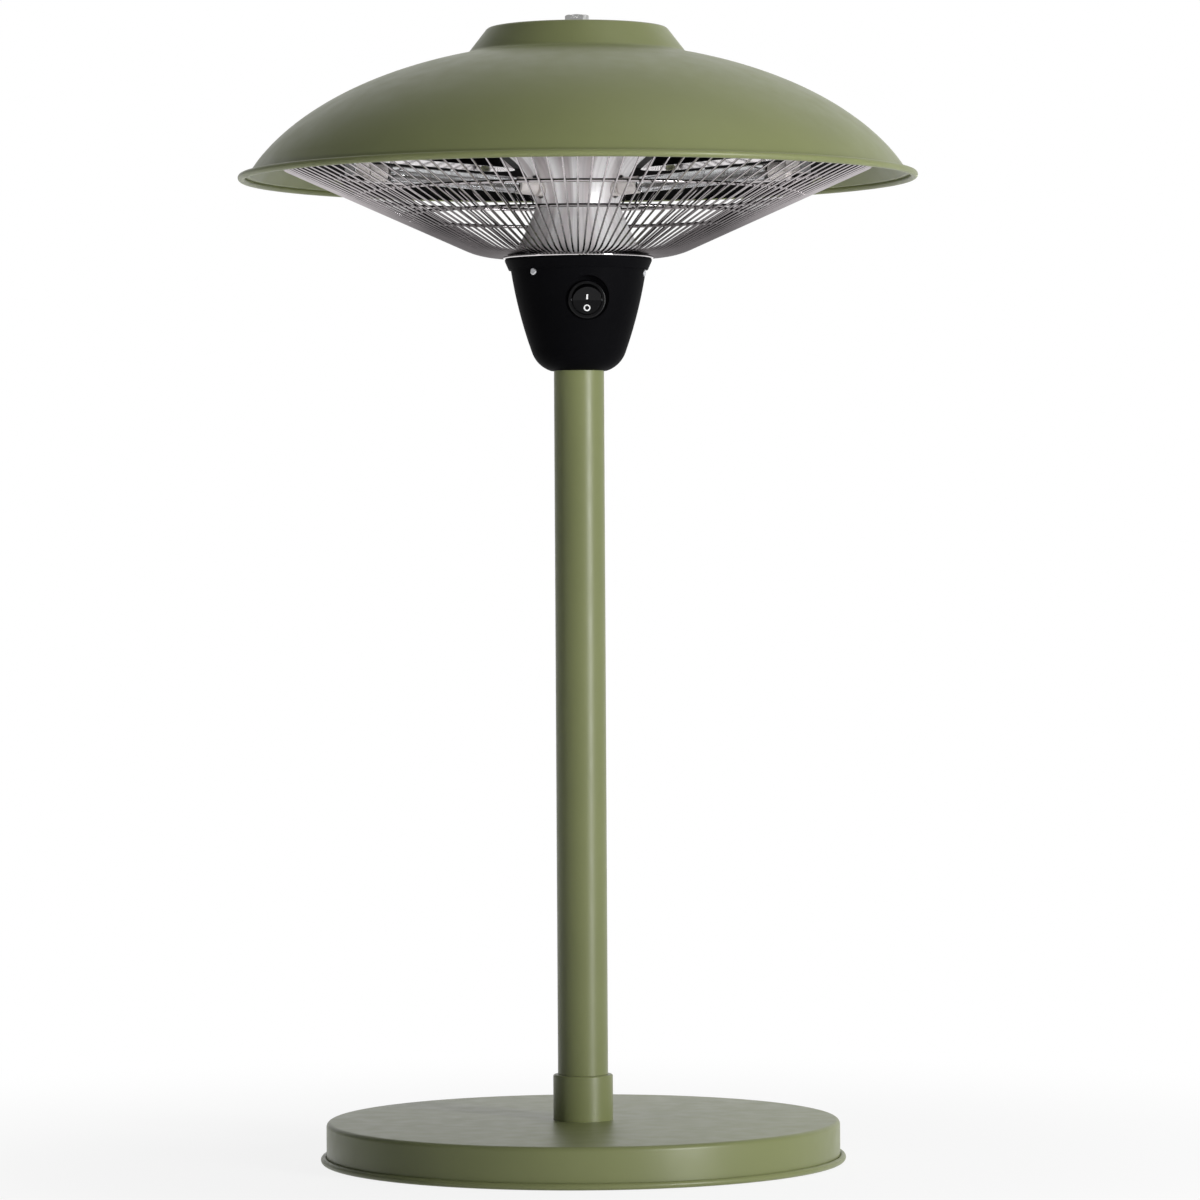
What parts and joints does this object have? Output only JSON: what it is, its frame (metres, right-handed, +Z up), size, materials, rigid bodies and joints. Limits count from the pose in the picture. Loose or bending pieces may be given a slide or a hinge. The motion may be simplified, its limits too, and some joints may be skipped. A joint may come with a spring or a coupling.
{
  "type": "tabletop infrared patio heater",
  "caption": "Tabletop patio heater: wide domed hood over radial quartz lamps behind a conical wire guard, black switch housing, round pole and weighted disc base.",
  "frame": {"origin": "on the table surface, under the centre of the pole", "axes": "+Z up along the pole; -Y towards the front, where the rocker switch is; +X to the right"},
  "size_m": [0.425, 0.425, 0.7175],
  "materials": {
    "olive_paint": "satin stoved paint",
    "black_enamel": "matt heat-resistant black",
    "chrome_wire": "polished plating",
    "polished_metal": "polished",
    "zinc_plate": "bright zinc plating",
    "black_plastic": "satin moulded",
    "black_gloss": "gloss moulded",
    "white_mark": "moulded white",
    "white_plastic": "moulded",
    "brass": "plain",
    "ceramic": "unglazed ceramic",
    "quartz": "clear quartz",
    "tungsten": "dull coiled wire",
    "rubber": "matt",
    "iron": "raw casting"
  },
  "bodies": {
    "heater": {"base_ballast": "iron", "base_feet": "rubber", "base_plate": "black_enamel", "base_plate_screws": "zinc_plate", "base_shell": "olive_paint", "cable_grommet": "rubber", "column_bell": "polished_metal", "column_funnel": "polished_metal", "column_leads": "rubber", "control_housing": "black_plastic", "guard_base_ring": "polished_metal", "guard_clip_screws": "zinc_plate", "guard_clips": "zinc_plate", "guard_rim_ring": "chrome_wire", "guard_rings": "chrome_wire", "guard_wires": "chrome_wire", "heat_shield": "black_enamel", "holder_brackets": "zinc_plate", "holder_plate": "zinc_plate", "hood": "olive_paint", "housing_lid": "zinc_plate", "housing_screws": "zinc_plate", "inner_bracket": "zinc_plate", "lamp_caps": "ceramic", "lamp_filaments": "tungsten", "lamp_holders_inner": "ceramic", "lamp_holders_outer": "ceramic", "lamp_reflectors": "polished_metal", "lamp_tube_left": "quartz", "lamp_tube_rear": "quartz", "lamp_tube_right": "quartz", "pole": "olive_paint", "pole_nipples": "zinc_plate", "pole_nuts": "zinc_plate", "pole_plugs": "zinc_plate", "pole_sleeve": "olive_paint", "pole_washers": "zinc_plate", "reflector_studs": "zinc_plate", "rocker_pin": "zinc_plate", "rod_nut": "zinc_plate", "rod_spacers": "zinc_plate", "supply_lead": "rubber", "switch_body": "black_gloss", "switch_terminals": "brass", "terminal_block": "white_plastic", "terminal_screws": "brass", "thermal_cutout": "black_plastic", "tie_rod": "zinc_plate", "tilt_case": "white_plastic", "tilt_cover": "white_plastic", "tilt_pin": "zinc_plate", "top_nut": "zinc_plate"},
    "rocker": {"switch_rocker": "black_gloss", "switch_marks": "white_mark"},
    "pendulum": {"tilt_pendulum": "brass"}
  },
  "joints": [
    {"name": "power_rocker", "type": "hinge", "parent": "heater", "child": "rocker", "pos_m": [0.00488, -0.03264, 0.5381], "axis": [0.989, 0.1478, 0], "range_deg": [-22, 0]},
    {"name": "tilt_switch", "type": "hinge", "parent": "heater", "child": "pendulum", "pos_m": [0, 0.0197, 0.546], "axis": [0, 1, 0], "range_deg": [-20, 20]}
  ]
}
